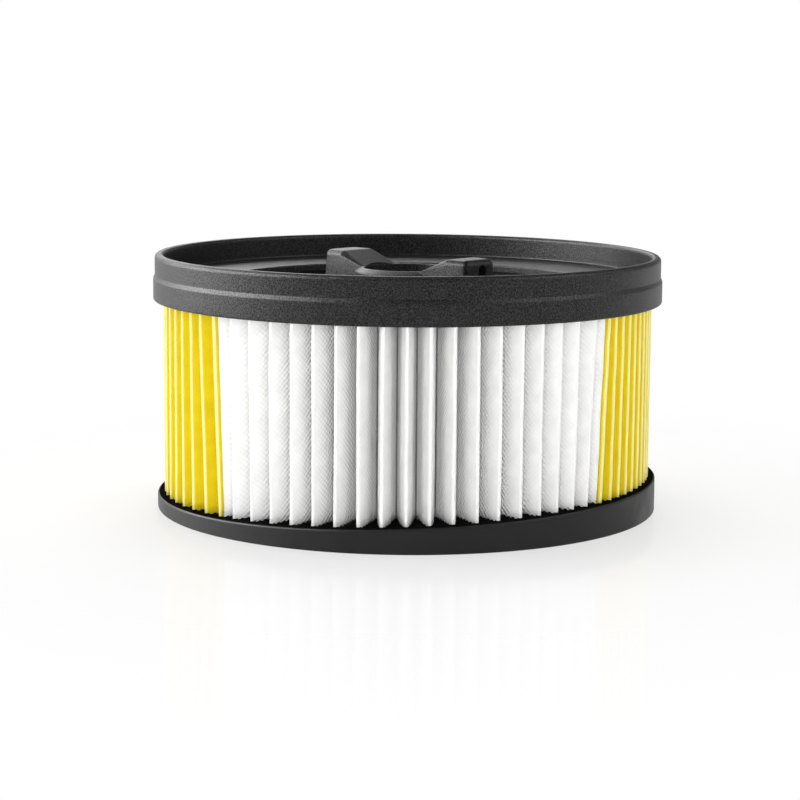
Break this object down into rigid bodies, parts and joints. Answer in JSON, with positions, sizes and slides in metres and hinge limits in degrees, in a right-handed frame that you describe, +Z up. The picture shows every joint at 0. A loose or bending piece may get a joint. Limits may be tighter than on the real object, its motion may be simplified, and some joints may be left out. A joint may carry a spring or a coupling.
{
  "type": "vacuum cartridge filter",
  "caption": "Round pleated cartridge filter: moulded end cap with a bored grip hub, white and yellow pleated medium on a support core, and a cast sealing ring.",
  "frame": {"origin": "middle of the sealing ring's lower face, on the filter's axis", "axes": "+Z up along the filter's axis towards the end cap, -Y to the front where the white pleats are"},
  "size_m": [0.19, 0.19, 0.095],
  "materials": {
    "cap_plastic": "fine-grained charcoal polypropylene",
    "white_medium": "stiff white nonwoven, embossed",
    "yellow_medium": "stiff yellow nonwoven",
    "core_plastic": "plain black polypropylene",
    "seal_rubber": "smooth cast polyurethane",
    "glue": "cast polyurethane glue"
  },
  "bodies": {
    "root": {"end_cap": "cap_plastic", "white_pleats": "white_medium", "yellow_pleats": "yellow_medium", "support_core": "core_plastic", "base_seal": "seal_rubber", "upper_potting": "glue"}
  },
  "joints": []
}
